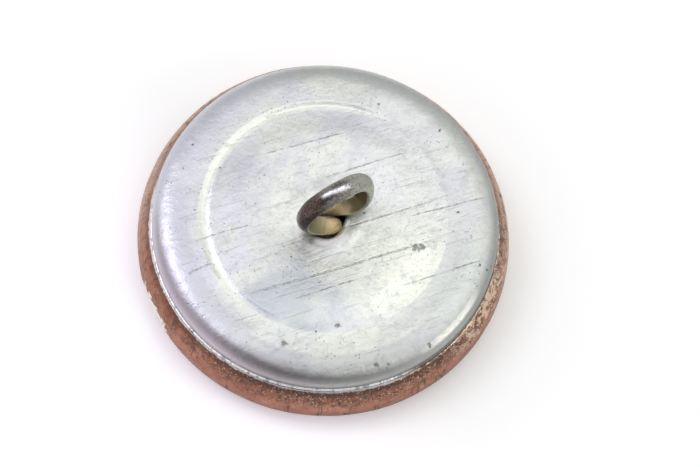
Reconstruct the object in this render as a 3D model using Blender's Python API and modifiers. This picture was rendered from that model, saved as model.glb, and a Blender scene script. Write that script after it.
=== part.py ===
"""A clinched shell button with a wire eye, lying face down.

A copper front shell is crimped over the flange of a tinned steel back plate. The wire eye passes through
the plate's centre hole, and its legs are splayed over two pasteboard discs that fill the shell.
Z is up out of the back, the origin is the centre of the front face, and the eye's ring lies along X.
"""
import math

import bpy
from mathutils import Vector

MM = 0.001

# Driving dimensions.
OUTER_RADIUS = 14.0 * MM
SHEET = 0.30 * MM
FIT_GAP = 0.06 * MM
TURN_STEPS = 48

# Front shell: a flat spot, a shallow dome, a rounded corner and a wall that leans in to the crimped lip.
WIDEST_HEIGHT = 1.75 * MM
EDGE_ROUND = 1.65 * MM
CORNER_DEPTH = 1.30 * MM
CURL_HEIGHT = 2.58 * MM
CORNER_END = math.radians(-82.0)
LIP_ANGLE = math.radians(64.9)
FLAT_RADIUS = 4.0 * MM

# Back plate: rounded hole, dished disc, pressed ring groove, annulus, drawn shoulder, foot and flange.
PLATE_TOP = 5.80 * MM
SHOULDER_DROP = 1.05 * MM
SHOULDER_START = 9.50 * MM
SHOULDER_POWER = 4
FOOT_RADIUS = 12.82 * MM
HOLE_HEIGHT = 5.60 * MM
HOLE_CENTRE = 1.98 * MM
HOLE_ROUND = 0.45 * MM
HOLE_SWEEP = math.radians(55.0)
DISC_HEIGHT = 5.76 * MM
DISH_START = 2.60 * MM
DISH_END = 7.20 * MM
GROOVE_DEPTH = 0.08 * MM
GROOVE_INNER = 8.56 * MM
GROOVE_MIDDLE = 9.00 * MM
FLANGE_ROUND = 0.12 * MM
FLANGE_HEIGHT = 3.80 * MM
FLANGE_LENGTH = 0.55 * MM

# Wire eye: round wire bent to a ring, with two legs that stand side by side in the hole. The route runs
# from the front leg's tail on the filler, up the hole, over the ring and back down to the rear leg's tail.
WIRE_RADIUS = 0.70 * MM
ROUTE_STEPS = 3
FRONT_LEG = -0.74
REAR_LEG = 0.74
TAIL_HEIGHT = 3.60
EYE_ROUTE_MM = [
    (4.50, FRONT_LEG, TAIL_HEIGHT),
    (3.00, FRONT_LEG, TAIL_HEIGHT),
    (1.50, FRONT_LEG, TAIL_HEIGHT),
    (0.85, FRONT_LEG, 3.95),
    (0.30, -0.76, 4.75),
    (-0.02, -0.74, 5.60),
    (-0.88, -0.56, 6.25),
    (-1.75, -0.32, 7.15),
    (-2.02, -0.22, 8.30),
    (-1.65, -0.28, 9.60),
    (-0.70, -0.38, 10.45),
    (0.50, -0.40, 10.70),
    (1.75, -0.32, 10.30),
    (2.62, -0.25, 9.35),
    (2.90, -0.32, 8.15),
    (2.70, -0.50, 7.02),
    (2.00, -0.38, 6.42),
    (1.25, 0.08, 6.05),
    (0.62, 0.58, 5.30),
    (0.30, 0.74, 4.45),
    (-0.30, REAR_LEG, 3.80),
    (-1.40, REAR_LEG, TAIL_HEIGHT),
    (-3.00, REAR_LEG, TAIL_HEIGHT),
    (-4.50, REAR_LEG, TAIL_HEIGHT),
]

# Pasteboard filler.
FILLER_SPLIT = 1.65 * MM
FILLER_TOP = 2.80 * MM
FILLER_RADIUS = 13.35 * MM
FILLER_EDGE = 0.20 * MM

CORNER_CENTRE = OUTER_RADIUS - EDGE_ROUND


def clear_scene():
    """Remove whatever objects the file opened with."""
    for old in list(bpy.data.objects):
        bpy.data.objects.remove(old, do_unlink=True)


def button_collection():
    """The collection that holds the button's pieces."""
    collection = bpy.data.collections.new("shank_button")
    bpy.context.scene.collection.children.link(collection)
    return collection


def finish(name, colour, roughness, metallic):
    """A plain Principled material."""
    material = bpy.data.materials.new(name)
    material.use_nodes = True
    shader = material.node_tree.nodes["Principled BSDF"]
    shader.inputs["Base Color"].default_value = (*colour, 1.0)
    shader.inputs["Roughness"].default_value = roughness
    shader.inputs["Metallic"].default_value = metallic
    return material


def arc(centre, radii, start, end, count):
    """Points (radius, height) along an elliptical arc, both ends included."""
    points = []
    for i in range(count):
        angle = start + (end - start) * i / (count - 1)
        points.append((centre[0] + radii[0] * math.cos(angle), centre[1] + radii[1] * math.sin(angle)))
    return points


def dome(start_point, lift, count):
    """Points running in from a corner's end, down the shallow dome to the flat spot and the axis."""
    outer_radius, outer_height = start_point
    points = []
    for i in range(1, count + 1):
        share = 1.0 - i / count
        radius = FLAT_RADIUS + (outer_radius - FLAT_RADIUS) * share
        points.append((radius, lift + (outer_height - lift) * share ** 2))
    points.append((0.0, lift))
    return points


def turned(name, profile, material, collection, sheet=0.0):
    """A piece turned about Z from a profile that runs down its outer side, hollowed when sheet is set."""
    mesh = bpy.data.meshes.new(name)
    vertices = [(radius, 0.0, height) for radius, height in profile]
    edges = [(i, i + 1) for i in range(len(profile) - 1)]
    mesh.from_pydata(vertices, edges, [])
    mesh.materials.append(material)
    piece = bpy.data.objects.new(name, mesh)
    collection.objects.link(piece)
    screw = piece.modifiers.new("turn", "SCREW")
    screw.axis = "Z"
    screw.angle = math.tau
    screw.steps = TURN_STEPS
    screw.render_steps = TURN_STEPS
    screw.use_merge_vertices = True
    screw.merge_threshold = 1e-6
    screw.use_smooth_shade = True
    if sheet:
        wall = piece.modifiers.new("sheet", "SOLIDIFY")
        wall.thickness = sheet
        wall.offset = -1.0
        wall.use_even_offset = True
    return piece


def build_front_shell(collection):
    """The stamped copper front, from the crimped lip down the wall and in under the dome."""
    material = finish("copper_shell", (0.42, 0.22, 0.15), 0.42, 1.0)
    middle = (CORNER_CENTRE, WIDEST_HEIGHT)
    profile = arc(middle, (EDGE_ROUND, CURL_HEIGHT), LIP_ANGLE, 0.0, 9)
    profile += arc(middle, (EDGE_ROUND, CORNER_DEPTH), 0.0, CORNER_END, 8)[1:]
    profile += dome(profile[-1], 0.0, 4)
    return turned("front_shell", profile, material, collection, SHEET)


def plate_face():
    """The back plate's top face as (radius, height), from the hole out to the flange's end."""
    hole_middle = (HOLE_CENTRE, HOLE_HEIGHT - HOLE_ROUND)
    profile = arc(hole_middle, (HOLE_ROUND, HOLE_ROUND), math.pi / 2 + HOLE_SWEEP, math.pi / 2, 5)
    for i in range(5):
        share = i / 4
        rise = (DISC_HEIGHT - HOLE_HEIGHT) * (1.0 - math.cos(math.pi * share)) / 2
        profile.append((DISH_START + (DISH_END - DISH_START) * share, HOLE_HEIGHT + rise))
    bottom = DISC_HEIGHT - GROOVE_DEPTH
    for i in range(4):
        share = i / 3
        drop = GROOVE_DEPTH * math.sin(math.pi / 2 * share)
        profile.append((GROOVE_INNER + (GROOVE_MIDDLE - GROOVE_INNER) * share, DISC_HEIGHT - drop))
    for i in range(1, 4):
        share = i / 4
        rise = (PLATE_TOP - bottom) * (1.0 - math.cos(math.pi * share)) / 2
        profile.append((GROOVE_MIDDLE + (SHOULDER_START - GROOVE_MIDDLE) * share, bottom + rise))
    for i in range(11):
        share = math.sin(math.pi / 2 * i / 10)
        drop = SHOULDER_DROP * (1.0 - math.sqrt(1.0 - share ** SHOULDER_POWER))
        profile.append((SHOULDER_START + (FOOT_RADIUS - SHOULDER_START) * share, PLATE_TOP - drop))
    flange_middle = (FOOT_RADIUS + FLANGE_ROUND, FLANGE_HEIGHT)
    profile += arc(flange_middle, (FLANGE_ROUND, FLANGE_ROUND), math.pi, 1.25 * math.pi, 3)
    root = profile[-1]
    reach = FLANGE_LENGTH / math.sqrt(2.0)
    profile.append((root[0] + reach, root[1] - reach))
    return profile


def build_back_plate(collection):
    """The tinned steel back, from its rounded hole out over the groove and shoulder to its flange."""
    material = finish("tinned_plate", (0.66, 0.67, 0.68), 0.38, 1.0)
    return turned("back_plate", plate_face(), material, collection, SHEET)


def build_filler_lower(collection):
    """The pasteboard disc that fills the dome of the front shell."""
    material = finish("pasteboard_lower", (0.45, 0.36, 0.25), 0.9, 0.0)
    lift = SHEET + FIT_GAP
    middle = (CORNER_CENTRE, WIDEST_HEIGHT)
    radii = (EDGE_ROUND - lift, CORNER_DEPTH - lift)
    top_angle = math.asin((FILLER_SPLIT - WIDEST_HEIGHT) / radii[1])
    profile = [(0.0, FILLER_SPLIT)]
    profile += arc(middle, radii, top_angle, CORNER_END, 7)
    profile += dome(profile[-1], lift, 4)
    return turned("filler_disc_lower", profile, material, collection)


def build_filler_upper(collection):
    """The pasteboard disc under the eye's splayed legs and the plate's flange."""
    material = finish("pasteboard_upper", (0.50, 0.41, 0.30), 0.9, 0.0)
    base = FILLER_SPLIT + FIT_GAP
    profile = [
        (0.0, FILLER_TOP),
        (FILLER_RADIUS - FILLER_EDGE, FILLER_TOP),
        (FILLER_RADIUS, FILLER_TOP - FILLER_EDGE),
        (FILLER_RADIUS, base + FILLER_EDGE),
        (FILLER_RADIUS - FILLER_EDGE, base),
        (0.0, base),
    ]
    return turned("filler_disc_upper", profile, material, collection)


def smooth_route(corners, steps):
    """Points of a Catmull-Rom curve that passes through the corners."""
    places = [Vector(corner) * MM for corner in corners]
    before_first = places[0] * 2.0 - places[1]
    after_last = places[-1] * 2.0 - places[-2]
    places = [before_first] + places + [after_last]
    points = []
    for a, b, c, d in zip(places, places[1:], places[2:], places[3:]):
        for step in range(steps):
            t = step / steps
            linear = (c - a) * t
            square = (a * 2.0 - b * 5.0 + c * 4.0 - d) * t ** 2
            cube = (b * 3.0 - a - c * 3.0 + d) * t ** 3
            points.append(b + (linear + square + cube) / 2.0)
    points.append(places[-2])
    return points


def build_wire_eye(collection):
    """The eye: one length of round wire, from one splayed tail over the ring to the other."""
    route = smooth_route(EYE_ROUTE_MM, ROUTE_STEPS)
    curve = bpy.data.curves.new("wire_eye", "CURVE")
    curve.dimensions = "3D"
    curve.bevel_depth = WIRE_RADIUS
    curve.bevel_resolution = 4
    curve.use_fill_caps = True
    spline = curve.splines.new("POLY")
    spline.points.add(len(route) - 1)
    for point, place in zip(spline.points, route):
        point.co = (*place, 1.0)
    curve.materials.append(finish("eye_wire", (0.30, 0.25, 0.20), 0.45, 1.0))
    piece = bpy.data.objects.new("wire_eye", curve)
    collection.objects.link(piece)
    return piece


clear_scene()
button = button_collection()
build_front_shell(button)
build_back_plate(button)
build_wire_eye(button)
build_filler_upper(button)
build_filler_lower(button)
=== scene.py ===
"""Studio scene of a clinched shell button with a wire eye, lying face down on a pale floor.

The CAD frame gives every place and size. The shell, the back plate and the eye are turned and swept here
as fine meshes in the spaces that their CAD solids hold, with their dents, crimp marks and worn edges. The
two pasteboard discs inside keep their CAD solids and get a board material.
"""
import math

import bpy
import numpy as np
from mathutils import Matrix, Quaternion, Vector, noise


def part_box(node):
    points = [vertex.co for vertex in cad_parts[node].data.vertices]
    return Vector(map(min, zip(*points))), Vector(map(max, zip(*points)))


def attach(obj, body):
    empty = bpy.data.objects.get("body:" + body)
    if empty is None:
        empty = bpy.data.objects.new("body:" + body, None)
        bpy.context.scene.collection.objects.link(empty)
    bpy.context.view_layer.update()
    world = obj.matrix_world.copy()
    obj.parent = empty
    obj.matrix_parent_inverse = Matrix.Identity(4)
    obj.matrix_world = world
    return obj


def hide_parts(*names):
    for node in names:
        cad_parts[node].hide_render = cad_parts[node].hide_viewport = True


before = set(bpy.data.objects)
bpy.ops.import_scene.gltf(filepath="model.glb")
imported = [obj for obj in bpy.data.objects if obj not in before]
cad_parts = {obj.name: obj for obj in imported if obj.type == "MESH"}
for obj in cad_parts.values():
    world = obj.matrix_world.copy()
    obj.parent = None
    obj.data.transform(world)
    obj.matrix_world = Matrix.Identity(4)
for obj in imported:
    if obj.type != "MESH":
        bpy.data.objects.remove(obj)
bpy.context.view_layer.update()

MM = 0.001
SHEET = 0.30

# The frame's own measures, in millimetres.
shell_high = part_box("front_shell")[1] / MM
plate_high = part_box("back_plate")[1] / MM
OUTER_RADIUS = shell_high.x
PLATE_TOP = plate_high.z
FLANGE_RADIUS = plate_high.x


# ---------------------------------------------------------------------------------------------------------
# Profiles, as (radius, height) in millimetres.
# ---------------------------------------------------------------------------------------------------------

EDGE_BULGE = 0.03


def arc(centre, radii, start, end, count):
    """Points along an elliptical arc between two angles in degrees, both ends included."""
    angles = np.radians(np.linspace(start, end, count))
    return [(centre[0] + radii[0] * math.cos(a), centre[1] + radii[1] * math.sin(a)) for a in angles]


def line(start, end, count):
    """Points along a straight run, without its first point."""
    shares = np.linspace(0.0, 1.0, count + 1)[1:]
    return [(start[0] + (end[0] - start[0]) * s, start[1] + (end[1] - start[1]) * s) for s in shares]


def inset(profile, depth):
    """The profile moved to its right-hand side by a depth, point by point."""
    moved = []
    last = len(profile) - 1
    for i, (radius, height) in enumerate(profile):
        before = profile[max(i - 1, 0)]
        after = profile[min(i + 1, last)]
        along = Vector((after[0] - before[0], after[1] - before[1])).normalized()
        moved.append((max(radius + along.y * depth, 0.0), height - along.x * depth))
    return moved


def rounded_end(outer_end, inner_end, along, count):
    """Points of a soft rounded sheet edge that runs from the outer face's end to the inner face's end."""
    outer_end, inner_end, along = Vector(outer_end), Vector(inner_end), Vector(along).normalized()
    points = []
    for i in range(1, count):
        share = i / count
        bulge = math.sqrt(math.sin(math.pi * share)) * EDGE_BULGE
        place = outer_end.lerp(inner_end, share) + along * bulge
        points.append((place.x, place.y))
    return points


# ---------------------------------------------------------------------------------------------------------
# Meshes.
# ---------------------------------------------------------------------------------------------------------

def make_mesh(name, vertices, faces, material):
    """A smooth mesh object from points in millimetres, with its faces pointing out."""
    mesh = bpy.data.meshes.new(name)
    mesh.from_pydata((np.asarray(vertices) * MM).tolist(), [], faces)
    mesh.validate()
    mesh.shade_smooth()
    mesh.materials.append(material)
    piece = bpy.data.objects.new(name, mesh)
    bpy.context.scene.collection.objects.link(piece)
    return piece


def lathe(name, loop, segments, material, warp):
    """A closed turned mesh. loop is the section's outline, outer face first, and may touch the axis."""
    angles = np.arange(segments) * math.tau / segments
    vertices = []
    rings = []
    for radius, height in loop:
        if radius < 1e-6:
            rings.append([len(vertices)])
            vertices.append((0.0, 0.0, height))
            continue
        rings.append(list(range(len(vertices), len(vertices) + segments)))
        for angle in angles:
            r, z = warp(radius, height, angle)
            vertices.append((r * math.cos(angle), r * math.sin(angle), z))
    faces = []
    for upper, lower in zip(rings, rings[1:] + rings[:1]):
        if len(upper) == 1 and len(lower) == 1:
            continue
        for i in range(segments):
            j = (i + 1) % segments
            if len(upper) == 1:
                faces.append((upper[0], lower[i], lower[j]))
            elif len(lower) == 1:
                faces.append((upper[i], lower[0], upper[j]))
            else:
                faces.append((upper[i], lower[i], lower[j], upper[j]))
    return make_mesh(name, vertices, faces, material)


def ripple(angle, waves):
    """A smooth periodic wobble round the axis, from (count, size, phase) waves."""
    return sum(size * math.sin(count * angle + phase) for count, size, phase in waves)


def lump(x, y, z, pitch):
    """Smooth noise between about -1 and 1 with lumps of a pitch."""
    return noise.noise(Vector((x, y, z)) / pitch)


def smooth(value, low, high):
    """0 below low, 1 above high and a smooth step between."""
    share = min(max((value - low) / (high - low), 0.0), 1.0)
    return share * share * (3.0 - 2.0 * share)


# ---------------------------------------------------------------------------------------------------------
# Procedural materials.
# ---------------------------------------------------------------------------------------------------------

class Finish:
    """Builds one procedural material, node by node, on coordinates in millimetres."""

    def __init__(self, name):
        self.material = bpy.data.materials.new(name)
        self.material.use_nodes = True
        self.tree = self.material.node_tree
        self.shader = self.tree.nodes["Principled BSDF"]
        place = self.tree.nodes.new("ShaderNodeTexCoord").outputs["Object"]
        self.place = self.vector("SCALE", place, scale=1.0 / MM)
        self.x, self.y, self.z = self.split(self.place)
        self.flat = self.join(self.x, self.y, 0.0)
        self.radius = self.vector("LENGTH", self.flat)
        self.heading = self.vector("NORMALIZE", self.flat)

    def put(self, socket, value):
        """Link a node's output to a socket, or set the socket's own value."""
        if isinstance(value, bpy.types.NodeSocket):
            self.tree.links.new(value, socket)
        elif isinstance(value, tuple) and socket.type == "RGBA":
            socket.default_value = (*value, 1.0)
        else:
            socket.default_value = value

    def math(self, operation, a, b=0.0):
        node = self.tree.nodes.new("ShaderNodeMath")
        node.operation = operation
        self.put(node.inputs[0], a)
        self.put(node.inputs[1], b)
        return node.outputs[0]

    def times(self, *factors):
        """The product of several values."""
        product = factors[0]
        for factor in factors[1:]:
            product = self.math("MULTIPLY", product, factor)
        return product

    def plus(self, a, b):
        return self.math("ADD", a, b)

    def sway(self, field, reach):
        """A noise field shifted to swing about zero, and scaled by a reach."""
        return self.times(self.math("SUBTRACT", field, 0.5), reach)

    def vector(self, operation, a, b=(0.0, 0.0, 0.0), scale=1.0):
        node = self.tree.nodes.new("ShaderNodeVectorMath")
        node.operation = operation
        self.put(node.inputs[0], a)
        if operation == "SCALE":
            self.put(node.inputs["Scale"], scale)
        else:
            self.put(node.inputs[1], b)
        return node.outputs["Value" if operation in ("LENGTH", "DOT_PRODUCT", "DISTANCE") else "Vector"]

    def split(self, vector):
        node = self.tree.nodes.new("ShaderNodeSeparateXYZ")
        self.put(node.inputs[0], vector)
        return node.outputs[0], node.outputs[1], node.outputs[2]

    def join(self, x, y, z):
        node = self.tree.nodes.new("ShaderNodeCombineXYZ")
        for socket, value in zip(node.inputs, (x, y, z)):
            self.put(socket, value)
        return node.outputs[0]

    def noise(self, scale, detail=2.0, roughness=0.5, distortion=0.0, at=None):
        node = self.tree.nodes.new("ShaderNodeTexNoise")
        self.put(node.inputs["Vector"], at or self.place)
        node.inputs["Scale"].default_value = scale
        node.inputs["Detail"].default_value = detail
        node.inputs["Roughness"].default_value = roughness
        node.inputs["Distortion"].default_value = distortion
        return node.outputs["Fac"]

    def cells(self, scale):
        """The distance to the nearest of scattered points."""
        node = self.tree.nodes.new("ShaderNodeTexVoronoi")
        self.put(node.inputs["Vector"], self.place)
        node.inputs["Scale"].default_value = scale
        return node.outputs["Distance"]

    def band(self, value, low, high):
        """0 at low and 1 at high with a smooth step between; low may be above high."""
        node = self.tree.nodes.new("ShaderNodeMapRange")
        node.interpolation_type = "SMOOTHSTEP"
        self.put(node.inputs["Value"], value)
        self.put(node.inputs["From Min"], low)
        self.put(node.inputs["From Max"], high)
        return node.outputs["Result"]

    def ring(self, rise_start, rise_end, fall_start, fall_end):
        """1 in a band round the axis, which fades in between two radii and out between two more."""
        rise = self.band(self.radius, rise_start, rise_end)
        fall = self.band(self.radius, fall_end, fall_start)
        return self.times(rise, fall)

    def facing(self, direction, low, high, at=None):
        """0 at low and 1 at high, by how far the heading, or another vector, goes along a level direction."""
        return self.band(self.vector("DOT_PRODUCT", at or self.heading, (*direction, 0.0)), low, high)

    def mix(self, factor, a, b):
        node = self.tree.nodes.new("ShaderNodeMix")
        node.data_type = "RGBA"
        self.put(node.inputs["Factor"], factor)
        self.put(node.inputs[6], a)
        self.put(node.inputs[7], b)
        return node.outputs[2]

    def lay_tone(self, colour, mask, strength, tone):
        """The colour with a tone laid over it under a mask, at a strength: stains, and also painted shade,
        reflections and highlights.
        """
        return self.mix(self.times(mask, strength), colour, tone)

    def blend(self, factor, a, b):
        """A mix of two numbers."""
        node = self.tree.nodes.new("ShaderNodeMix")
        self.put(node.inputs[0], factor)
        self.put(node.inputs[2], a)
        self.put(node.inputs[3], b)
        return node.outputs[0]

    def attribute(self, name):
        node = self.tree.nodes.new("ShaderNodeAttribute")
        node.attribute_name = name
        return node.outputs["Fac"]

    def bump(self, height, depth, normal=None):
        """Relief of a depth in millimetres, over an earlier normal if there is one."""
        node = self.tree.nodes.new("ShaderNodeBump")
        node.inputs["Strength"].default_value = 1.0
        node.inputs["Distance"].default_value = depth * MM
        self.put(node.inputs["Height"], height)
        if normal is not None:
            self.put(node.inputs["Normal"], normal)
        return node.outputs["Normal"]

    def drawn(self, angle, along, across):
        """Coordinates stretched along a level direction at an angle in degrees."""
        turn = math.radians(angle)
        ahead = self.vector("DOT_PRODUCT", self.place, (math.cos(turn), math.sin(turn), 0.0))
        aside = self.vector("DOT_PRODUCT", self.place, (-math.sin(turn), math.cos(turn), 0.0))
        return self.join(self.times(ahead, along), self.times(aside, across), self.times(self.z, across))

    def round_axis(self, turn_scale, radius_scale):
        """Coordinates that run round the axis and out from it, for marks drawn out across the rim."""
        heading_x, heading_y, _ = self.split(self.heading)
        out = self.times(self.radius, radius_scale)
        return self.join(self.times(heading_x, turn_scale), self.times(heading_y, turn_scale), out)

    def near(self, centre, inner, outer):
        """1 within the inner distance of a point and 0 beyond the outer one."""
        return self.band(self.vector("DISTANCE", self.place, centre), outer, inner)

    def stroke(self, start, end, width, ragged):
        """A scratch between two level points, broken by a ragged factor. It fades out at its ends."""
        ahead = Vector(end) - Vector(start)
        length = ahead.length
        ahead.normalize()
        from_start = self.vector("SUBTRACT", self.flat, (*start, 0.0))
        along = self.vector("DOT_PRODUCT", from_start, (ahead.x, ahead.y, 0.0))
        aside = self.math("ABSOLUTE", self.vector("DOT_PRODUCT", from_start, (-ahead.y, ahead.x, 0.0)))
        line_mask = self.band(aside, width, width * 0.25)
        first = self.band(along, -0.1 * length, 0.12 * length)
        last = self.band(along, 1.1 * length, 0.88 * length)
        return self.times(line_mask, ragged, first, last)

    def most(self, masks):
        """The greatest of several masks."""
        result = masks[0]
        for mask in masks[1:]:
            result = self.math("MAXIMUM", result, mask)
        return result

    def done(self, colour, roughness, metallic, normal):
        self.put(self.shader.inputs["Base Color"], colour)
        self.put(self.shader.inputs["Roughness"], roughness)
        self.put(self.shader.inputs["Metallic"], metallic)
        self.put(self.shader.inputs["Normal"], normal)
        return self.material


# The sides on which marks, painted shade, painted reflections and painted highlights lie, as level directions
# from the axis. Front is -Y and right is +X.
SHOULDER_SHADE_SIDE = (-0.52, -0.85)
DARK_BAND_SIDE = (-0.99, 0.12)
LAVENDER_SIDE = (-0.80, 0.60)
DARK_REFLECTION_SIDE = (-0.98, -0.17)
FRONT_SHADE_SIDE = (-0.45, -0.89)
DARK_FOOT_SIDE = (0.94, -0.34)
GLEAM_SIDE = (0.30, -0.95)
GROOVE_SIDE = (-0.45, 0.89)
BURR_SIDE = (-0.37, -0.93)
SILVER_SIDE = (-0.94, -0.34)
PALE_SIDE = (0.62, 0.78)
COPPER_FRONT_SIDE = (-0.10, -0.99)
GILT_AND_HIGHLIGHT_SIDE = (0.50, -0.87)
FLOOR_GLOW_SIDE = (-0.98, -0.20)

# The plate's rolling marks run at this angle, in degrees. The edges of its stains and painted reflections
# wander by up to half of the wander width, and the tints of the disc and of the ring round it meet within
# ZONE_BLUR, in millimetres.
ROLLING_ANGLE = -12.5
STAIN_AND_REFLECTION_WANDER = 9.0
ZONE_BLUR = 0.08

# Places on the shell in millimetres: the widest radius that tints are measured by, the golden place on the
# curl, which is partly gilding and partly painted highlight, and the bare patch, which is round on stretched
# coordinates.
WALL_RADIUS = 13.4
GILT_AND_HIGHLIGHT_PLACE = (7.2, -11.6, 3.4)
PATCH_STRETCH = (1.0, 0.55, 1.5)
PATCH_MIDDLE = (-13.9, 0.95, 3.0)

FLOOR_GLOW = 0.30

# Scratches on the plate: start, end and half width in millimetres on the level plane.
PLATE_SCRATCHES = [
    ((-7.00, -2.55), (5.60, -5.45), 0.15),
    ((-3.70, -0.40), (6.80, -2.70), 0.10),
    ((-5.20, -4.30), (-0.80, -5.20), 0.09),
    ((1.60, 2.80), (7.60, 1.55), 0.08),
    ((-8.60, 3.10), (-5.20, 2.30), 0.09),
    ((-10.9, 1.20), (-9.10, 1.10), 0.12),
    ((2.20, -7.40), (7.90, -8.60), 0.07),
    ((-1.20, 6.60), (4.60, 5.20), 0.08),
    ((5.60, -3.10), (11.2, -4.60), 0.08),
]

# Dark spots on the plate: place and reach in millimetres on the level plane.
PLATE_SPOTS = [
    ((4.40, -5.35), 0.62),
    ((4.75, -5.50), 0.45),
    ((1.30, -12.20), 0.30),
    ((-7.70, -6.80), 0.44),
    ((-2.90, -11.5), 0.36),
    ((-2.10, -11.9), 0.20),
    ((-3.70, -7.60), 0.34),
]

# Large tinted patches on the plate, partly stains and partly painted reflections, light and dark: centre,
# inner and outer radius in millimetres, strength, zone and colour.
PLATE_TINTS = [
    ((2.8, -6.6), 2.0, 6.0, 0.90, "disc", (0.860, 0.880, 0.780)),
    ((-6.2, -4.6), 1.5, 4.4, 0.85, "disc", (0.510, 0.545, 0.580)),
    ((-8.9, -3.8), 0.8, 3.4, 0.80, "ring", (0.760, 0.780, 0.740)),
    ((-4.0, 6.4), 1.0, 5.2, 0.60, "disc", (0.600, 0.600, 0.660)),
    ((-7.4, 2.6), 0.5, 3.4, 0.60, "disc", (0.740, 0.740, 0.800)),
    ((-2.0, 1.5), 0.5, 3.0, 0.70, "disc", (0.850, 0.870, 0.790)),
    ((6.2, -0.6), 1.0, 4.6, 0.70, "disc", (0.800, 0.810, 0.790)),
    ((-3.6, -9.8), 1.0, 5.0, 0.85, "ring", (0.750, 0.780, 0.700)),
    ((-11.2, 2.0), 0.5, 4.5, 0.70, "ring", (0.650, 0.650, 0.730)),
    ((9.5, 4.0), 1.0, 7.0, 0.55, "ring", (0.680, 0.690, 0.670)),
    ((5.6, -9.4), 2.0, 6.5, 0.80, "ring", (0.645, 0.668, 0.640)),
]


def plate_base(f, clouds, mottle, crackle, grain):
    """The plate's mottled tin, with its large tinted patches, partly stains and partly painted reflections.
    """
    colour = f.mix(f.band(clouds, 0.38, 0.62), (0.655, 0.660, 0.700), (0.725, 0.740, 0.705))
    wander = f.sway(clouds, STAIN_AND_REFLECTION_WANDER)
    inside, outside = GROOVE_MIDDLE - ZONE_BLUR, GROOVE_MIDDLE + ZONE_BLUR
    zones = {"disc": f.band(f.radius, outside, inside), "ring": f.band(f.radius, inside, outside)}
    for centre, inner, outer, strength, zone, tint in PLATE_TINTS:
        apart = f.plus(f.vector("DISTANCE", f.flat, (*centre, 0.0)), wander)
        colour = f.lay_tone(colour, f.times(f.band(apart, outer, inner), zones[zone]), strength, tint)
    colour = f.lay_tone(colour, f.band(mottle, 0.50, 0.70), 0.50, (0.54, 0.55, 0.55))
    colour = f.lay_tone(colour, f.band(crackle, 0.54, 0.64), 0.42, (0.49, 0.49, 0.505))
    return f.lay_tone(colour, f.band(grain, 0.5, 0.75), 0.20, (0.36, 0.36, 0.36))


def plate_shoulder(f, colour, clouds):
    """Painted shade, reflections and a highlight on the shoulder, darkest in front, with lavender and purple
    on the left.
    """
    # Painted shade: the whole shoulder is darkened, most in front.
    shoulder = f.band(f.plus(f.radius, f.sway(clouds, STAIN_AND_REFLECTION_WANDER * 0.10)), 10.7, 12.4)
    shade_side = f.facing(SHOULDER_SHADE_SIDE, 0.2, 0.9)
    colour = f.lay_tone(colour, shoulder, f.blend(shade_side, 0.30, 0.47), (0.22, 0.22, 0.225))
    # A darker band round the plate on the left, at the inner edge of the shoulder.
    dark_band = f.times(f.ring(9.8, 10.6, 11.1, 11.7), f.facing(DARK_BAND_SIDE, 0.76, 0.95))
    colour = f.lay_tone(colour, dark_band, 0.58, (0.42, 0.42, 0.45))
    # Painted reflection of a bluish light: a lavender tint at the back left.
    lavender = f.times(f.band(f.radius, 9.6, 10.6), f.facing(LAVENDER_SIDE, 0.10, 0.70))
    colour = f.lay_tone(colour, lavender, 0.45, (0.66, 0.655, 0.76))

    # Painted dark reflection: a dark purple band on the shoulder at the left front, with a pinkish band
    # outside it.
    dark_reflection_side = f.facing(DARK_REFLECTION_SIDE, 0.62, 0.92)
    dark_reflection = f.times(f.ring(11.70, 12.15, 12.35, 12.75), dark_reflection_side)
    colour = f.lay_tone(colour, dark_reflection, 0.58, (0.19, 0.145, 0.160))
    blush = f.times(f.band(f.radius, 12.2, 12.6), dark_reflection_side)
    colour = f.lay_tone(colour, blush, 0.50, (0.42, 0.33, 0.36))

    # Painted shade in front: a darker band on the shoulder and a dark band at the foot.
    front_shade_side = f.facing(FRONT_SHADE_SIDE, 0.70, 0.96)
    front_shade = f.times(f.ring(10.45, 10.95, 11.5, 12.2), front_shade_side)
    colour = f.lay_tone(colour, front_shade, 0.50, (0.34, 0.34, 0.365))
    front_foot_shade = f.times(f.band(f.radius, 12.25, 12.50), front_shade_side)
    colour = f.lay_tone(colour, front_foot_shade, 0.45, (0.20, 0.195, 0.19))

    # Painted shade: the foot is darker on the right.
    dark_foot = f.times(f.band(f.radius, 11.9, 12.7), f.facing(DARK_FOOT_SIDE, 0.35, 0.85))
    colour = f.lay_tone(colour, dark_foot, 0.60, (0.17, 0.17, 0.165))
    # Painted highlight: a pale streak on the steep shoulder at the front right.
    gleam = f.times(f.ring(12.05, 12.20, 12.42, 12.60), f.facing(GLEAM_SIDE, 0.955, 0.99))
    return f.lay_tone(colour, gleam, 0.55, (0.86, 0.88, 0.83))


def plate_specks(f):
    """Corrosion: fine specks gathered where a slow noise is high, coarse ones, and the listed spots."""
    fine = f.times(f.band(f.cells(3.1), 0.16, 0.07), f.band(f.noise(0.45, 2.0), 0.46, 0.62))
    ragged = f.sway(f.noise(4.5, 3.0, 0.7), 0.42)
    coarse = f.times(f.band(f.plus(f.cells(1.15), ragged), 0.15, 0.09), f.band(f.noise(0.8, 1.0), 0.60, 0.66))
    shaken = f.vector("ADD", f.flat, f.join(ragged, f.times(ragged, -1.0), 0.0))
    gnawed = f.sway(f.noise(3.4, 4.0, 0.75), 1.9)
    spots = []
    for centre, reach in PLATE_SPOTS:
        apart = f.plus(f.vector("DISTANCE", shaken, (*centre, 0.0)), f.times(gnawed, reach))
        spots.append(f.band(apart, reach * 0.62, reach * 0.30))
    return f.most([fine, coarse, f.times(f.most(spots), 0.85)])


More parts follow.
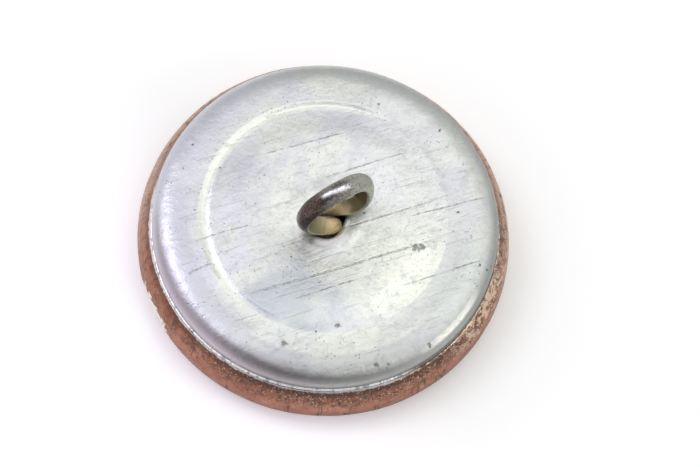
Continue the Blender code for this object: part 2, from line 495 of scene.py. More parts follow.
def tinned_plate_finish():
    """Old hot-tinned steel: pale, mottled, scratched one way and pitted with small dark corrosion."""
    f = Finish("tinned_plate")
    f.material.diffuse_color = (0.6, 0.6, 0.6, 1.0)
    clouds = f.noise(0.30, 3.0, 0.55, 0.4)
    mottle = f.noise(1.5, 4.0, 0.6, 0.8)
    crackle = f.noise(3.6, 4.0, 0.7, 1.2)
    grain = f.noise(9.0, 3.0, 0.6)
    colour = plate_base(f, clouds, mottle, crackle, grain)
    colour = plate_shoulder(f, colour, clouds)

    # The hole's rim is rubbed bright and brightened more as a painted highlight, and the groove round the
    # disc is painted light on its back left side as a painted reflection.
    groove = f.times(f.ring(8.60, 8.85, 9.20, 9.60), f.facing(GROOVE_SIDE, -0.15, 0.45))
    rim = f.times(f.band(f.radius, 2.3, 2.0), f.band(f.z, 5.0, 5.25))
    colour = f.lay_tone(colour, f.most([groove, rim]), 0.80, (0.80, 0.82, 0.75))
    # Painted highlight: the burr's crest in front is near white, and less metallic below, so that it shows
    # bright.
    burr = f.times(f.ring(1.68, 1.80, 2.15, 2.45), f.facing(BURR_SIDE, 0.72, 0.92))
    colour = f.mix(burr, colour, (0.98, 0.96, 1.0))

    # Rolling streaks and separate scratches.
    streaks = f.band(f.noise(1.0, 3.0, 0.6, at=f.drawn(ROLLING_ANGLE, 0.35, 4.0)), 0.56, 0.72)
    ragged = f.band(f.noise(1.0, 3.0, 0.7, at=f.drawn(ROLLING_ANGLE, 1.9, 5.0)), 0.34, 0.62)
    scratches = f.most([f.stroke(start, end, width, ragged) for start, end, width in PLATE_SCRATCHES])
    dots = f.times(f.band(f.noise(5.5, 2.0, 0.6), 0.42, 0.62), scratches)
    colour = f.lay_tone(colour, streaks, 0.24, (0.36, 0.37, 0.36))
    colour = f.lay_tone(colour, scratches, 0.34, (0.33, 0.34, 0.32))
    colour = f.lay_tone(colour, dots, 0.50, (0.14, 0.145, 0.13))
    specks = plate_specks(f)
    colour = f.lay_tone(colour, specks, 0.75, (0.10, 0.095, 0.085))

    # Painted shade on the foot's small bead, with a painted highlight on one side, and dark ticks where the
    # crimping tool pressed.
    bead = f.times(f.band(f.radius, 12.60, 12.75), f.band(f.z, 4.46, 4.36))
    silvery = f.facing(SILVER_SIDE, 0.30, 0.50)
    colour = f.mix(bead, colour, f.mix(silvery, (0.17, 0.165, 0.155), (0.92, 0.93, 0.92)))
    crimp = f.times(f.band(f.radius, 12.55, 12.80), f.band(f.z, 5.0, 4.2))
    ticks = f.band(f.noise(1.0, 2.0, 0.6, at=f.round_axis(36.0, 0.6)), 0.50, 0.62)
    colour = f.lay_tone(colour, f.times(crimp, ticks), 0.6, (0.13, 0.135, 0.12))

    roughness = f.plus(f.blend(mottle, 0.26, 0.44), f.times(specks, 0.30))
    roughness = f.plus(roughness, f.times(f.plus(streaks, scratches), 0.08))
    metallic = f.math("SUBTRACT", 0.92, f.times(specks, 0.6))
    # The burr's painted highlight is made almost unmetallic.
    metallic = f.blend(burr, metallic, 0.20)
    normal = f.bump(f.noise(0.9, 3.0, 0.6), 0.045)
    normal = f.bump(crackle, 0.010, normal)
    normal = f.bump(grain, 0.005, normal)
    marks = f.plus(f.times(streaks, 0.25), f.plus(scratches, specks))
    normal = f.bump(f.math("SUBTRACT", 1.0, marks), 0.020, normal)
    return f.done(colour, roughness, metallic, normal)


def copper_base(f, across, mottle, grain):
    """The shell's mottled copper, which is paler on one side."""
    clouds = f.noise(0.42, 3.0, 0.55, 0.5)
    blotches = f.noise(0.95, 5.0, 0.66, 0.8)
    colour = f.mix(f.band(clouds, 0.35, 0.65), (0.43, 0.190, 0.118), (0.34, 0.138, 0.082))
    colour = f.lay_tone(colour, f.band(blotches, 0.50, 0.62), 0.70, (0.22, 0.085, 0.052))
    colour = f.lay_tone(colour, f.band(blotches, 0.44, 0.34), 0.55, (0.52, 0.29, 0.21))
    colour = f.lay_tone(colour, f.band(mottle, 0.53, 0.64), 0.45, (0.27, 0.115, 0.070))
    colour = f.lay_tone(colour, f.band(grain, 0.52, 0.72), 0.30, (0.16, 0.070, 0.050))
    return f.lay_tone(colour, f.facing(PALE_SIDE, -0.38, 0.22, across), 0.80, (0.66, 0.48, 0.38))


def copper_finish():
    """Worn gilt copper with painted shade low down: salmon brown, darker and speckled under the lip, with a
    bright rubbed lip edge.
    """
    f = Finish("copper_shell")
    f.material.diffuse_color = (0.45, 0.25, 0.18, 1.0)
    across = f.vector("SCALE", f.flat, scale=1.0 / WALL_RADIUS)
    mottle = f.noise(2.4, 5.0, 0.70, 0.5)
    grain = f.noise(11.0, 3.0, 0.65)
    front_share = f.facing(COPPER_FRONT_SIDE, 0.0, 0.8, across)
    colour = copper_base(f, across, mottle, grain)

    # The lower wall and the face are darkened with painted shade, most in front, the lower wall is cracked
    # and the face is scuffed.
    low_wall = f.band(f.z, 2.9, 1.6)
    colour = f.lay_tone(colour, low_wall, f.blend(front_share, 0.22, 0.66), (0.19, 0.085, 0.056))
    crack_field = f.noise(1.0, 3.0, 0.6, 0.4, at=f.round_axis(9.0, 0.7))
    crack_line = f.math("ABSOLUTE", f.math("SUBTRACT", crack_field, 0.5))
    crack_places = f.times(f.band(f.noise(0.7, 1.0), 0.46, 0.56), f.band(f.radius, 12.2, 12.8))
    cracks = f.times(f.band(crack_line, 0.020, 0.005), crack_places)
    colour = f.lay_tone(colour, cracks, 0.75, (0.055, 0.030, 0.022))
    scuffs = f.band(f.noise(1.0, 3.0, 0.7, at=f.drawn(35.0, 0.25, 4.5)), 0.58, 0.68)
    scuffs = f.times(scuffs, f.band(f.radius, 13.0, 12.4))
    colour = f.lay_tone(colour, scuffs, 0.35, (0.20, 0.095, 0.065))

    # The top of the curl is darker, with purple and olive tarnish in ragged clumps.
    wander = f.sway(mottle, 2.4)
    wandering_height = f.plus(f.z, wander)
    curl = f.times(f.band(wandering_height, 2.70, 3.50), f.blend(front_share, 0.40, 1.0))
    colour = f.lay_tone(colour, curl, 0.55, (0.22, 0.095, 0.062))
    tarnish = f.times(curl, f.band(f.noise(2.2, 6.0, 0.78, 0.8), 0.50, 0.56))
    colour = f.lay_tone(colour, tarnish, 0.88, (0.060, 0.030, 0.031))
    below_lip = f.times(f.band(f.z, 3.70, 3.95), f.band(f.radius, 12.90, 13.00))
    colour = f.lay_tone(colour, below_lip, f.blend(front_share, 0.35, 0.70), (0.085, 0.045, 0.032))

    # Cream and golden speckles, the last of the gilding.
    rim_area = f.band(wandering_height, 2.65, 3.25)
    gilt = f.times(rim_area, f.band(f.noise(6.0, 4.0, 0.75, 0.5), 0.57, 0.62))
    colour = f.lay_tone(colour, gilt, f.blend(front_share, 0.25, 0.90), (0.56, 0.45, 0.33))
    # A golden patch at the front right: partly gilding and partly a painted highlight.
    gold_and_highlight = f.times(f.near(GILT_AND_HIGHLIGHT_PLACE, 2.0, 5.8), rim_area, f.band(f.noise(2.0, 5.0, 0.75, 0.4), 0.44, 0.54))
    colour = f.lay_tone(colour, gold_and_highlight, 0.85, (0.70, 0.52, 0.40))

    # A pale bare patch on the widest edge, with a dark outline.
    stretched = f.vector("MULTIPLY", f.place, PATCH_STRETCH)
    patch_edge = f.plus(f.vector("DISTANCE", stretched, PATCH_MIDDLE), f.sway(f.noise(1.4, 3.0, 0.6), 3.4))
    patch = f.band(patch_edge, 1.25, 0.95)
    colour = f.lay_tone(colour, f.band(patch_edge, 1.75, 1.30), 0.7, (0.20, 0.11, 0.06))
    colour = f.mix(patch, colour, (0.78, 0.74, 0.64))

    # The rubbed edge of the lip: silvery on the left, golden at the front right, partly a painted highlight
    # there, and brown elsewhere.
    edge = f.band(f.plus(f.z, f.times(wander, 0.10)), 4.05, 4.11)
    silvery = f.facing(SILVER_SIDE, 0.30, 0.50, across)
    golden_side = f.facing(GILT_AND_HIGHLIGHT_SIDE, 0.70, 0.90, across)
    edge_colour = f.mix(silvery, f.mix(golden_side, (0.36, 0.27, 0.22), (0.80, 0.61, 0.48)), (0.72, 0.67, 0.70))
    clumps = f.blend(silvery, f.band(f.noise(2.6, 4.0, 0.7), 0.42, 0.56), 1.0)
    edge_share = f.times(edge, clumps, f.blend(f.band(grain, 0.38, 0.60), 1.0, 0.72))
    colour = f.mix(edge_share, colour, edge_colour)

    dull = f.most([tarnish, patch, cracks])
    roughness = f.plus(f.blend(mottle, 0.34, 0.56), f.times(dull, 0.22))
    roughness = f.blend(edge, roughness, 0.34)
    metallic = f.blend(edge, f.blend(dull, 0.82, 0.15), 1.0)
    normal = f.bump(f.noise(1.3, 3.0, 0.6), 0.030)
    normal = f.bump(f.times(mottle, f.blend(curl, 0.35, 1.0)), 0.030, normal)
    normal = f.bump(grain, 0.008, normal)
    return f.done(colour, roughness, metallic, normal)


def wire_outside(f, place, mottle, pits):
    """The wire's outer side along its length: brown, then silver with a painted highlight along its crest,
    then grey.
    """
    brown = f.mix(f.band(mottle, 0.40, 0.64), (0.056, 0.040, 0.032), (0.110, 0.080, 0.066))
    silver = f.mix(f.band(mottle, 0.40, 0.60), (0.13, 0.115, 0.100), (0.26, 0.24, 0.23))
    broken = f.blend(f.band(mottle, 0.42, 0.58), 1.0, 0.70)
    # Painted highlight along the outer crest, from the mesh's attribute.
    silver = f.lay_tone(silver, f.attribute("crest_highlight"), broken, (0.86, 0.85, 0.95))
    grey = f.mix(f.band(mottle, 0.40, 0.64), (0.27, 0.265, 0.225), (0.39, 0.39, 0.345))
    colour = f.mix(f.band(place, -1.35, -0.35), brown, silver)
    colour = f.mix(f.band(place, 0.5, 1.5), colour, grey)
    colour = f.lay_tone(colour, pits, 0.9, (0.028, 0.020, 0.016))
    return f.lay_tone(colour, f.band(f.noise(15.0, 3.0, 0.7), 0.58, 0.66), 0.55, (0.52, 0.40, 0.37))


def wire_inside(f, place, slow, grain):
    """The wire's inner side along its length: olive, then rubbed tan, then dark brown."""
    colour = f.mix(f.band(place, -1.5, -0.2), (0.19, 0.18, 0.105), (0.56, 0.44, 0.25))
    colour = f.mix(f.band(place, 0.95, 2.1), colour, (0.125, 0.105, 0.055))
    colour = f.lay_tone(colour, f.band(slow, 0.5, 0.64), 0.45, (0.21, 0.165, 0.085))
    return f.lay_tone(colour, f.band(grain, 0.5, 0.7), 0.25, (0.13, 0.10, 0.06))


def eye_wire_finish():
    """Brown tarnished wire, pitted outside, with a rubbed tan inner face and a light ridge between them."""
    f = Finish("eye_wire")
    f.material.diffuse_color = (0.25, 0.21, 0.18, 1.0)
    inner = f.attribute("inner_face")
    mottle = f.noise(6.5, 4.0, 0.65)
    slow = f.noise(1.3, 2.0, 0.5)
    grain = f.noise(14.0, 3.0, 0.65)
    place = f.plus(f.x, f.sway(slow, 1.6))
    pits = f.times(f.band(f.cells(8.0), 0.36, 0.20), f.band(f.noise(2.2, 2.0), 0.42, 0.55))
    pit_zone = f.times(f.band(place, 0.0, 0.7), f.band(place, 2.2, 1.5))
    pits = f.times(pits, f.blend(pit_zone, 0.30, 1.0))
    colour = f.mix(inner, wire_outside(f, place, mottle, pits), wire_inside(f, place, slow, grain))
    colour = f.lay_tone(colour, f.attribute("ridge"), 0.60, (0.54, 0.52, 0.42))
    roughness = f.plus(f.blend(mottle, 0.20, 0.36), f.times(inner, 0.14))
    roughness = f.plus(roughness, f.times(pits, 0.3))
    metallic = f.blend(inner, 0.95, 0.85)
    normal = f.bump(slow, 0.040)
    normal = f.bump(mottle, 0.020, normal)
    normal = f.bump(f.math("SUBTRACT", 1.0, pits), 0.030, normal)
    normal = f.bump(grain, 0.006, normal)
    return f.done(colour, roughness, metallic, normal)


def pasteboard_finish(name, tone):
    """Grey-brown pasteboard with short fibres."""
    f = Finish(name)
    fibres = f.noise(1.0, 4.0, 0.65, at=f.drawn(20.0, 1.5, 7.0))
    specks = f.noise(6.0, 3.0, 0.6)
    dark = tuple(part * 0.62 for part in tone)
    colour = f.mix(f.band(fibres, 0.35, 0.65), dark, tone)
    colour = f.mix(f.band(specks, 0.64, 0.72), colour, (0.16, 0.12, 0.08))
    normal = f.bump(fibres, 0.05)
    return f.done(colour, f.blend(specks, 0.80, 0.95), 0.0, normal)


def floor_finish():
    """White matt paper with a painted glow so that it stays white, stronger and lavender on one side, where
    it lightens the shadow.
    """
    f = Finish("floor_paper")
    tone = f.noise(0.05, 2.0)
    colour = f.mix(tone, (0.93, 0.93, 0.935), (0.95, 0.95, 0.95))
    # Painted light: the glow is stronger and lavender on the left front side.
    lavender = f.facing(FLOOR_GLOW_SIDE, 0.0, 0.85)
    f.put(f.shader.inputs["Emission Color"], f.mix(lavender, (0.40, 0.41, 0.39), (0.93, 0.86, 1.0)))
    f.shader.inputs["Emission Strength"].default_value = FLOOR_GLOW
    return f.done(colour, 0.85, 0.0, f.bump(f.noise(2.0, 3.0), 0.01))


# ---------------------------------------------------------------------------------------------------------
# Front shell: flat spot, shallow dome, rounded corner and a wall that leans in to the crimped lip.
# ---------------------------------------------------------------------------------------------------------

EDGE_ROUND = 1.65
CURL_MIDDLE = (OUTER_RADIUS - EDGE_ROUND, 1.75)
CURL_HEIGHT = 2.58
CORNER_DEPTH = 1.30
LIP_ANGLE = 69.4
LIP_INSIDE = 12.94
LIP_START = 3.3
CORNER_END = -82.0
FLAT_RADIUS = 4.0
SHELL_SEGMENTS = 480
LIP_WAVES = [(3, 0.012, 0.4), (7, 0.010, 1.9), (13, 0.008, 4.4), (29, 0.005, 0.9), (53, 0.004, 2.2)]


def shell_warp(radius, height, angle):
    """Small dents, and a lip that wanders a little in and out and up and down."""
    x, y = radius * math.cos(angle), radius * math.sin(angle)
    near_lip = smooth(height, 2.6, 4.0)
    dent = 0.022 * lump(x, y, height, 2.6) + 0.010 * lump(x, y, height + 30.0, 0.9) - 0.012
    nick = 0.020 * near_lip * lump(x, y, 9.0, 0.45)
    lift = near_lip * (ripple(angle, LIP_WAVES) + nick) - 0.02 * near_lip
    low_guard = smooth(height, 0.0, 0.9)
    return radius + dent * low_guard, height + lift


def shell_outer_face():
    """The outer face from the lip's end down and in to the axis."""
    profile = arc(CURL_MIDDLE, (EDGE_ROUND, CURL_HEIGHT), LIP_ANGLE, 0.0, 33)
    profile += arc(CURL_MIDDLE, (EDGE_ROUND, CORNER_DEPTH), 0.0, CORNER_END, 18)[1:]
    edge_radius, edge_height = profile[-1]
    for share in np.linspace(1.0, 0.0, 16)[1:]:
        radius = FLAT_RADIUS + (edge_radius - FLAT_RADIUS) * share
        profile.append((radius, edge_height * share ** 2))
    return profile + line(profile[-1], (0.0, 0.0), 4)


def build_front_shell():
    outer = shell_outer_face()
    inner = inset(outer, SHEET)[::-1]
    inner[0] = (0.0, SHEET)
    inner = [(max(radius, LIP_INSIDE) if height > LIP_START else radius, height) for radius, height in inner]
    along = (outer[0][0] - outer[1][0], outer[0][1] - outer[1][1])
    end = rounded_end(inner[-1], outer[0], along, 6)
    shell = lathe("shell_front", outer + inner + end, SHELL_SEGMENTS, copper_finish(), shell_warp)
    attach(shell, "root")
    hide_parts("front_shell")


# ---------------------------------------------------------------------------------------------------------
# Back plate: rounded hole, dished disc, ring groove, annulus, drawn shoulder, foot with a bead, and flange.
# ---------------------------------------------------------------------------------------------------------

SHOULDER_DROP = 1.05
SHOULDER_START = 9.50
SHOULDER_POWER = 4
FOOT_RADIUS = 12.82
HOLE_HEIGHT = PLATE_TOP - 0.20
HOLE_CENTRE = 1.98
HOLE_ROUND = 0.45
HOLE_SWEEP = 55.0
DISC_HEIGHT = PLATE_TOP - 0.04
DISH_START = 2.60
DISH_END = 7.20
GROOVE_DEPTH = 0.08
GROOVE_INNER = 8.56
GROOVE_MIDDLE = 9.00
BEAD_MIDDLE = (12.84, 4.24)
BEAD_ROUND = 0.075
FLANGE_ROUND = 0.12
FLANGE_HEIGHT = 3.80
PLATE_SEGMENTS = 840

# Each side of the groove is pressed flat all round, but for the part opposite to its angle.
INNER_GONE = math.radians(-10.0)
OUTER_GONE = math.radians(-72.0)

# The hole is drawn in to the legs at one angle and has a burr at another.
SNUG_ANGLE = math.radians(-50.0)
SNUG_REACH = 0.30
SWELL_HEIGHT = 0.05
BURR_ANGLE = math.radians(-112.0)
BURR_HEIGHT = 0.19

# The crimping tool's marks round the foot: how many, and how deep they and their unevenness are.
CRIMP_MARKS = 205
CRIMP_DEPTH = 0.018
CRIMP_UNEVEN = 0.022


def swell(radius, middle, width):
    """A smooth hump across the radius, 1 at its middle."""
    return math.exp(-((radius - middle) / width) ** 2)


def ring_wear(radius, angle):
    """How far the surface is lowered where one side of the groove, or both, has been pressed flat."""
    inner_gone = smooth(math.cos(angle - INNER_GONE), -0.84, -0.55)
    outer_gone = smooth(math.cos(angle - OUTER_GONE), -0.42, -0.12)
    full_rise = PLATE_TOP - DISC_HEIGHT + GROOVE_DEPTH
    inner_share = min(max((radius - GROOVE_INNER) / (GROOVE_MIDDLE - GROOVE_INNER), 0.0), 1.0)
    outer_share = min(max((radius - GROOVE_MIDDLE) / (SHOULDER_START - GROOVE_MIDDLE), 0.0), 1.0)
    inner_drop = GROOVE_DEPTH * smooth(radius, 6.6, 8.5) * (1.0 - math.sin(math.pi / 2.0 * inner_share))
    outer_drop = full_rise * (1.0 - math.cos(math.pi * outer_share)) / 2.0 * (1.0 - smooth(radius, 9.3, 11.6))
    return inner_gone * inner_drop + outer_gone * outer_drop


def plate_warp(radius, height, angle):
    """Dents, the hole's swell, burr and pull to the legs, the groove's wear and the crimping marks."""
    x, y = radius * math.cos(angle), radius * math.sin(angle)
    level = smooth(radius, 1.6, 4.0) * (1.0 - smooth(radius, 11.6, 12.6))
    dent = 0.030 * lump(x, y, 3.0, 3.4) + 0.010 * lump(x, y, 11.0, 1.1)
    rim = (1.0 - smooth(radius, 1.6, 2.9)) * 0.03 * lump(x, y, 21.0, 0.9)
    rim += SWELL_HEIGHT * swell(radius, 2.05, 0.70)
    burr_share = max(math.cos(angle - BURR_ANGLE), 0.0) ** 2
    rim += BURR_HEIGHT * burr_share * swell(radius, 2.10, 0.30)
    rim -= ring_wear(radius, angle) if height > DISC_HEIGHT - SHEET else 0.0
    foot = smooth(radius, 12.50, 12.80) * (1.0 - smooth(height, 4.3, 4.9))
    beat = math.sin(angle * CRIMP_MARKS + 2.0 * lump(x, y, 5.0, 1.6))
    tick = foot * (CRIMP_DEPTH * beat + CRIMP_UNEVEN * lump(x, y, 15.0, 0.35))
    snug = SNUG_REACH * max(math.cos(angle - SNUG_ANGLE), 0.0) ** 3 * (1.0 - smooth(radius, 1.6, 2.6))
    return radius - abs(tick) * 0.6 - snug, height + level * dent - 0.02 * level + rim + tick * 0.5


def plate_top_face():
    """The top face from the hole's edge out to the flange's end."""
    profile = arc((HOLE_CENTRE, HOLE_HEIGHT - HOLE_ROUND), (HOLE_ROUND,) * 2, 90.0 + HOLE_SWEEP, 90.0, 12)
    for share in np.linspace(0.0, 1.0, 24):
        rise = (DISC_HEIGHT - HOLE_HEIGHT) * (1.0 - math.cos(math.pi * share)) / 2.0
        profile.append((DISH_START + (DISH_END - DISH_START) * share, HOLE_HEIGHT + rise))
    profile += line(profile[-1], (GROOVE_INNER, DISC_HEIGHT), 6)
    bottom = DISC_HEIGHT - GROOVE_DEPTH
    for share in np.linspace(0.0, 1.0, 9)[1:]:
        drop = GROOVE_DEPTH * math.sin(math.pi / 2.0 * share)
        profile.append((GROOVE_INNER + (GROOVE_MIDDLE - GROOVE_INNER) * share, DISC_HEIGHT - drop))
    for share in np.linspace(0.0, 1.0, 10)[1:-1]:
        rise = (PLATE_TOP - bottom) * (1.0 - math.cos(math.pi * share)) / 2.0
        profile.append((GROOVE_MIDDLE + (SHOULDER_START - GROOVE_MIDDLE) * share, bottom + rise))
    for turn in np.linspace(0.0, math.pi / 2.0, 44):
        share = math.sin(turn)
        drop = SHOULDER_DROP * (1.0 - math.sqrt(max(1.0 - share ** SHOULDER_POWER, 0.0)))
        profile.append((SHOULDER_START + (FOOT_RADIUS - SHOULDER_START) * share, PLATE_TOP - drop))
    profile += line(profile[-1], (FOOT_RADIUS, BEAD_MIDDLE[1] + BEAD_ROUND), 4)
    profile += arc(BEAD_MIDDLE, (BEAD_ROUND,) * 2, 80.0, -80.0, 9)
    profile += line((FOOT_RADIUS, BEAD_MIDDLE[1] - BEAD_ROUND), (FOOT_RADIUS, FLANGE_HEIGHT), 5)
    profile += arc((FOOT_RADIUS + FLANGE_ROUND, FLANGE_HEIGHT), (FLANGE_ROUND,) * 2, 180.0, 225.0, 5)[1:]
    reach = FLANGE_RADIUS - profile[-1][0]
    return profile + line(profile[-1], (FLANGE_RADIUS, profile[-1][1] - reach), 3)


def build_back_plate():
    top = plate_top_face()
    under = inset(top, SHEET)[::-1]
    plate = lathe("plate_back", top + under, PLATE_SEGMENTS, tinned_plate_finish(), plate_warp)
    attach(plate, "root")
    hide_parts("back_plate")


# ---------------------------------------------------------------------------------------------------------
# Wire eye: it follows the CAD wire from the front leg's tail over the ring to the rear leg's tail.
# ---------------------------------------------------------------------------------------------------------

WIRE_RADIUS = 0.70
FRONT_LEG = -0.74
REAR_LEG = 0.74
TAIL_HEIGHT = 3.60
EYE_ROUTE = [
    (4.50, FRONT_LEG, TAIL_HEIGHT),
    (3.00, FRONT_LEG, TAIL_HEIGHT),
    (1.50, FRONT_LEG, TAIL_HEIGHT),
    (0.85, FRONT_LEG, 3.95),
    (0.30, -0.76, 4.75),
    (-0.02, -0.74, 5.60),
    (-0.88, -0.56, 6.25),
    (-1.75, -0.32, 7.15),
    (-2.02, -0.22, 8.30),
    (-1.65, -0.28, 9.60),
    (-0.70, -0.38, 10.45),
    (0.50, -0.40, 10.70),
    (1.75, -0.32, 10.30),
    (2.62, -0.25, 9.35),
    (2.90, -0.32, 8.15),
    (2.70, -0.50, 7.02),
    (2.00, -0.38, 6.42),
    (1.25, 0.08, 6.05),
    (0.62, 0.58, 5.30),
    (0.30, 0.74, 4.45),
    (-0.30, REAR_LEG, 3.80),
    (-1.40, REAR_LEG, TAIL_HEIGHT),
    (-3.00, REAR_LEG, TAIL_HEIGHT),
    (-4.50, REAR_LEG, TAIL_HEIGHT),
]
ROUTE_STEPS = 14
WIRE_SIDES = 56
RING_CENTRE = Vector((0.45, -0.30, 8.60))
TOP_POINT = 11

# The flattened inner side: how far it stands from the wire's middle, as a share of the radius, how sharp
# its edges are, and how many degrees it is turned from the ring's centre on the ring and on the front leg.
FLAT_DEPTH = 0.60
SQUARENESS = 7.0
RING_TWIST = 20.0
FRONT_LEG_TWIST = 54.0
RIDGE_ANGLE = math.atan2(1.0, FLAT_DEPTH)

# The painted highlight runs along the wire where its outward direction has almost no y. It starts a little in
# front of that, and drifts further to the front for each millimetre of x.
HIGHLIGHT_START = 0.12
HIGHLIGHT_DRIFT = 0.20


def smooth_route(corners, steps):
    """Points of a Catmull-Rom curve that passes through the corners."""
    places = [Vector(corner) for corner in corners]
    places = [places[0] * 2.0 - places[1]] + places + [places[-1] * 2.0 - places[-2]]
    points = []
    for a, b, c, d in zip(places, places[1:], places[2:], places[3:]):
        for step in range(steps):
            t = step / steps
            linear = (c - a) * t
            square = (a * 2.0 - b * 5.0 + c * 4.0 - d) * t ** 2
            cube = (b * 3.0 - a - c * 3.0 + d) * t ** 3
            points.append(b + (linear + square + cube) / 2.0)
    points.append(places[-2])
    return points


def carried(reference, tangents, start):
    """The reference direction carried along the tangents both ways from a start, without twist."""
    found = [None] * len(tangents)
    found[start] = (reference - tangents[start] * reference.dot(tangents[start])).normalized()
    for order in (range(start + 1, len(tangents)), range(start - 1, -1, -1)):
        held = found[start]
        for i in order:
            held = (held - tangents[i] * held.dot(tangents[i])).normalized()
            found[i] = held
    return found


def half_round(turn):
    """The reach of the wire's section, as a share, at an angle from its inner side, which is flat."""
    toward, aside = math.cos(turn), abs(math.sin(turn))
    if toward <= 0.0:
        return 1.0
    return ((toward / FLAT_DEPTH) ** SQUARENESS + aside ** SQUARENESS) ** (-1.0 / SQUARENESS)


def build_wire_eye():
    route = smooth_route(EYE_ROUTE, ROUTE_STEPS)
    last = len(route) - 1
    tangents = [(route[min(i + 1, last)] - route[max(i - 1, 0)]).normalized() for i in range(last + 1)]
    start = TOP_POINT * ROUTE_STEPS
    inward = carried(RING_CENTRE - route[start], tangents, start)
    vertices, inner_face, ridge, crest_highlight = [], [], [], []
    for step, (place, tangent, ahead) in enumerate(zip(route, tangents, inward)):
        leg_share = 1.0 - smooth(step / ROUTE_STEPS, 7.0, 10.5)
        twist = math.radians(RING_TWIST + (FRONT_LEG_TWIST - RING_TWIST) * leg_share)
        ahead = (ahead * math.cos(twist) - tangent.cross(ahead) * math.sin(twist)).normalized()
        aside = tangent.cross(ahead)
        flat_share = smooth(place.z, 5.2, 6.3)
        for side in range(WIRE_SIDES):
            turn = math.tau * side / WIRE_SIDES
            reach = 1.0 + (half_round(turn) - 1.0) * flat_share
            offset = (ahead * math.cos(turn) + aside * math.sin(turn)) * reach
            spot = place + offset
            pitted = 0.014 * lump(*spot, 0.8) + 0.008 * lump(*spot, 0.33) - 0.012
            vertices.append(place + offset * (WIRE_RADIUS + pitted))
            edge_gap = min(turn, math.tau - turn) - RIDGE_ANGLE
            inner_face.append(smooth(-edge_gap, -0.06, 0.06))
            ridge.append((1.0 - smooth(abs(edge_gap), 0.02, 0.13)) * flat_share)
            # The painted highlight along the crest, placed by the outward direction of the wire's surface.
            crest = offset.normalized().y + HIGHLIGHT_START + HIGHLIGHT_DRIFT * place.x
            crest_highlight.append(1.0 - smooth(abs(crest), 0.10, 0.36))
    faces = []
    for ring in range(last):
        base, above = ring * WIRE_SIDES, (ring + 1) * WIRE_SIDES
        for i in range(WIRE_SIDES):
            j = (i + 1) % WIRE_SIDES
            faces.append((base + i, base + j, above + j, above + i))
    faces.append(tuple(range(WIRE_SIDES))[::-1])
    faces.append(tuple(range(last * WIRE_SIDES, (last + 1) * WIRE_SIDES)))
    eye = make_mesh("eye_of_wire", [tuple(v) for v in vertices], faces, eye_wire_finish())
    for name, values in (("inner_face", inner_face), ("ridge", ridge), ("crest_highlight", crest_highlight)):
        layer = eye.data.attributes.new(name, "FLOAT", "POINT")
        layer.data.foreach_set("value", values)
    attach(eye, "root")
    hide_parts("wire_eye")


# ---------------------------------------------------------------------------------------------------------
# Studio: floor, lights, sky and camera.
# ---------------------------------------------------------------------------------------------------------

FLOOR_REACH = 1500


def build_floor():
    corners = [(x * FLOOR_REACH, y * FLOOR_REACH, 0) for x, y in ((-1, -1), (1, -1), (1, 1), (-1, 1))]
    make_mesh("floor", corners, [(0, 1, 2, 3)], floor_finish())


def soft_light(name, azimuth, elevation, distance, size, radiance, colour):
    """A square soft light that faces the button. Azimuth is measured from +X, in degrees."""
    a, e = math.radians(azimuth), math.radians(elevation)
    outward = Vector((math.cos(a) * math.cos(e), math.sin(a) * math.cos(e), math.sin(e)))
    light = bpy.data.lights.new(name, "AREA")
    light.shape = "SQUARE"
    light.size = size
    light.energy = radiance * math.pi * size * size
    light.color = colour
    lamp = bpy.data.objects.new(name, light)
    lamp.location = outward * distance
    lamp.rotation_euler = outward.to_track_quat("Z", "Y").to_euler()
    bpy.context.scene.collection.objects.link(lamp)


# The sky's strength, and its soft regions: direction, cosine of the outer and the inner edge, and what each
# adds to the strength.
SKY_BASE = 1.00
SKY_REGIONS = [
    ((0.22, -0.06, 0.97), 0.80, 1.00, 0.76),
    ((-0.25, -0.28, 0.93), 0.78, 0.98, -0.66),
    ((0.45, 0.66, 0.60), 0.72, 0.99, -0.42),
    ((-0.40, -0.75, 0.53), 0.70, 0.98, -0.42),
]


def sky_band(tree, value, low, high, gain=1.0):
    """A smooth step, from 0 where a value is low to the gain where it is high."""
    step = tree.nodes.new("ShaderNodeMapRange")
    step.interpolation_type = "SMOOTHSTEP"
    step.inputs["From Min"].default_value = low
    step.inputs["From Max"].default_value = high
    step.inputs["To Max"].default_value = gain
    tree.links.new(value, step.inputs["Value"])
    return step.outputs["Result"]


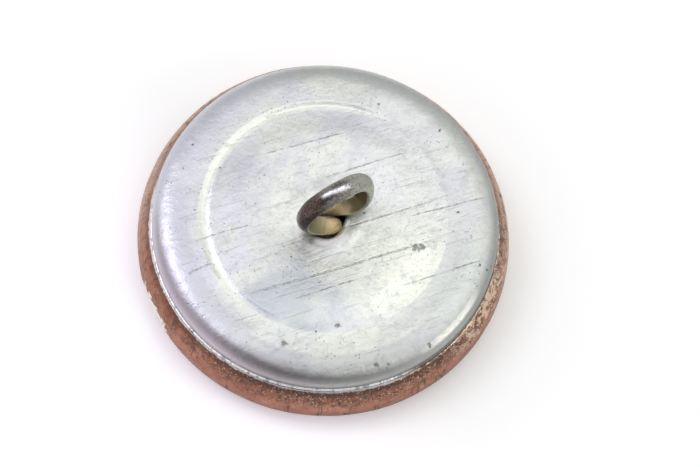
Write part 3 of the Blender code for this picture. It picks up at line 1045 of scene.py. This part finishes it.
def build_sky():
    """A pale studio sky: bright overhead, and duller round the camera and low in front and at the back."""
    world = bpy.data.worlds.new("studio")
    bpy.context.scene.world = world
    world.use_nodes = True
    tree = world.node_tree
    background = tree.nodes["Background"]
    place = tree.nodes.new("ShaderNodeTexCoord").outputs["Generated"]
    strength = None
    for direction, outer, inner, gain in SKY_REGIONS:
        toward = tree.nodes.new("ShaderNodeVectorMath")
        toward.operation = "DOT_PRODUCT"
        toward.inputs[1].default_value = Vector(direction).normalized()
        tree.links.new(place, toward.inputs[0])
        region = sky_band(tree, toward.outputs["Value"], outer, inner, gain)
        total = tree.nodes.new("ShaderNodeMath")
        total.inputs[1].default_value = SKY_BASE
        tree.links.new(region, total.inputs[0])
        if strength is not None:
            tree.links.new(strength, total.inputs[1])
        strength = total.outputs[0]
    tree.links.new(strength, background.inputs["Strength"])
    parts = tree.nodes.new("ShaderNodeSeparateXYZ")
    tree.links.new(place, parts.inputs[0])
    right_side = sky_band(tree, parts.outputs[0], -0.10, 0.45)
    colours = tree.nodes.new("ShaderNodeMix")
    colours.data_type = "RGBA"
    colours.inputs[6].default_value = (0.965, 0.955, 1.0, 1.0)
    colours.inputs[7].default_value = (0.985, 1.0, 0.965, 1.0)
    tree.links.new(right_side, colours.inputs["Factor"])
    tree.links.new(colours.outputs[2], background.inputs["Color"])


def build_camera():
    """The camera stands above the button's front left and is turned a little about its own axes."""
    azimuth, elevation, distance = math.radians(-38.3), math.radians(67.88), 0.140
    roll, pan, tilt = math.radians(7.52), math.radians(0.794), math.radians(0.046)
    target = Vector((0.0, 0.0, 0.0021))
    back = Vector((
        math.sin(azimuth) * math.cos(elevation),
        -math.cos(azimuth) * math.cos(elevation),
        math.sin(elevation),
    ))
    data = bpy.data.cameras.new("camera")
    data.sensor_width = 36.0
    data.lens = 95.76
    data.clip_start = 0.001
    camera = bpy.data.objects.new("camera", data)
    camera.location = target + back * distance
    camera.rotation_mode = "QUATERNION"
    look = (-back).to_track_quat("-Z", "Y")
    turn = Quaternion((0, 0, 1), roll) @ Quaternion((0, 1, 0), -pan) @ Quaternion((1, 0, 0), tilt)
    camera.rotation_quaternion = look @ turn
    bpy.context.scene.collection.objects.link(camera)
    bpy.context.scene.camera = camera


BOARD_TONES = {
    "filler_disc_lower": (0.42, 0.33, 0.22),
    "filler_disc_upper": (0.47, 0.38, 0.27),
}

build_camera()
build_sky()
build_floor()
soft_light("window", 127.0, 56.0, 0.50, 0.165, 3.7, (0.91, 0.90, 1.0))
soft_light("lamp", -53.0, 33.0, 0.50, 0.14, 2.2, (1.0, 0.96, 0.86))
build_front_shell()
build_back_plate()
build_wire_eye()
for node_name, tone in BOARD_TONES.items():
    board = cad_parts[node_name]
    board.material_slots[0].material = pasteboard_finish("pasteboard_" + node_name, tone)
bpy.context.scene.view_settings.view_transform = "Standard"
